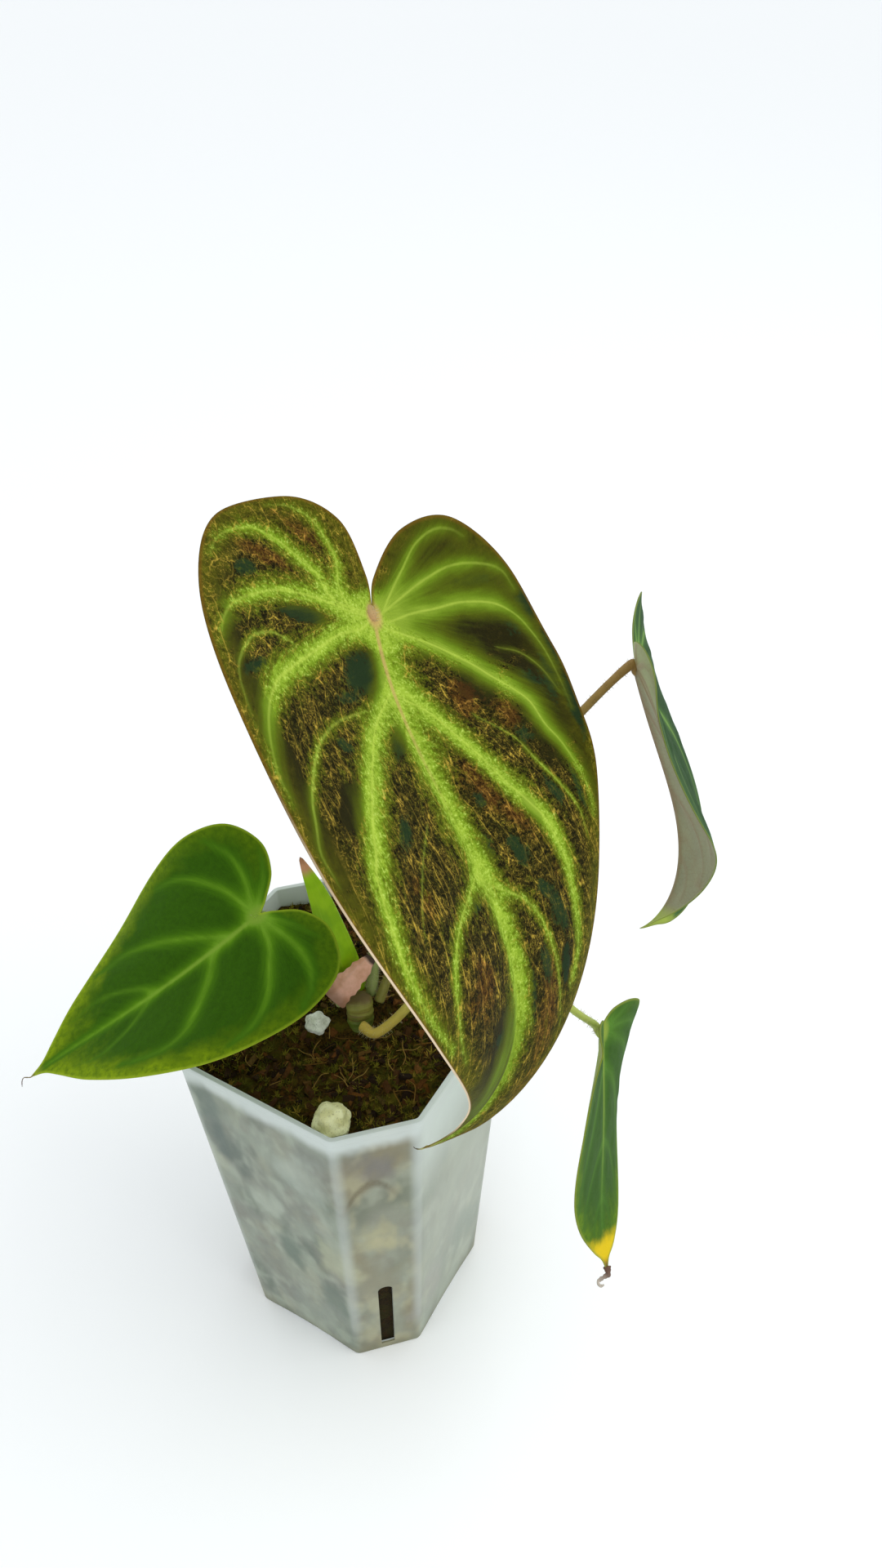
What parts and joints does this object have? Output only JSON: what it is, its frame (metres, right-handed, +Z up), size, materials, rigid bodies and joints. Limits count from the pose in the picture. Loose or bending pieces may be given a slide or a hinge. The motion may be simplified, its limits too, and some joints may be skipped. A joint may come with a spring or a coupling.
{
  "type": "potted plant",
  "caption": "Small climbing foliage plant with velvety heart-shaped leaves in a tall square translucent nursery pot.",
  "frame": {"origin": "middle of the pot's underside", "axes": "+Z up out of the pot, X and Y square to the walls of the pot"},
  "size_m": [0.1619, 0.1929, 0.3207],
  "materials": {
    "pot_plastic": "frosted, translucent",
    "mix": "damp bark, moss and fibre",
    "crown": "pale green, soft",
    "new_sheath": "waxy lime green",
    "old_sheath": "dry, pinkish brown",
    "petiole_green": "finely hairy",
    "petiole_brown": "finely hairy",
    "petiole_tan": "finely hairy",
    "blade_velvet": "dark velvet with lime veins",
    "blade_green": "velvety green with lighter veins",
    "blade_pale": "pale underside, green upper face",
    "blade_mid": "velvety green with a yellow tip",
    "pumice": "porous"
  },
  "bodies": {
    "root": {"pot": "pot_plastic", "potting_mix": "mix", "crown": "crown", "sheath_new": "new_sheath", "sheath_old": "old_sheath", "petiole_front": "petiole_green", "petiole_left": "petiole_green", "petiole_upper_right": "petiole_brown", "petiole_lower_right": "petiole_tan", "blade_front": "blade_velvet", "blade_left": "blade_green", "blade_upper_right": "blade_pale", "blade_lower_right": "blade_mid", "pumice_1": "pumice", "pumice_2": "pumice", "pumice_3": "pumice", "pumice_4": "pumice", "pumice_5": "pumice"}
  },
  "joints": []
}
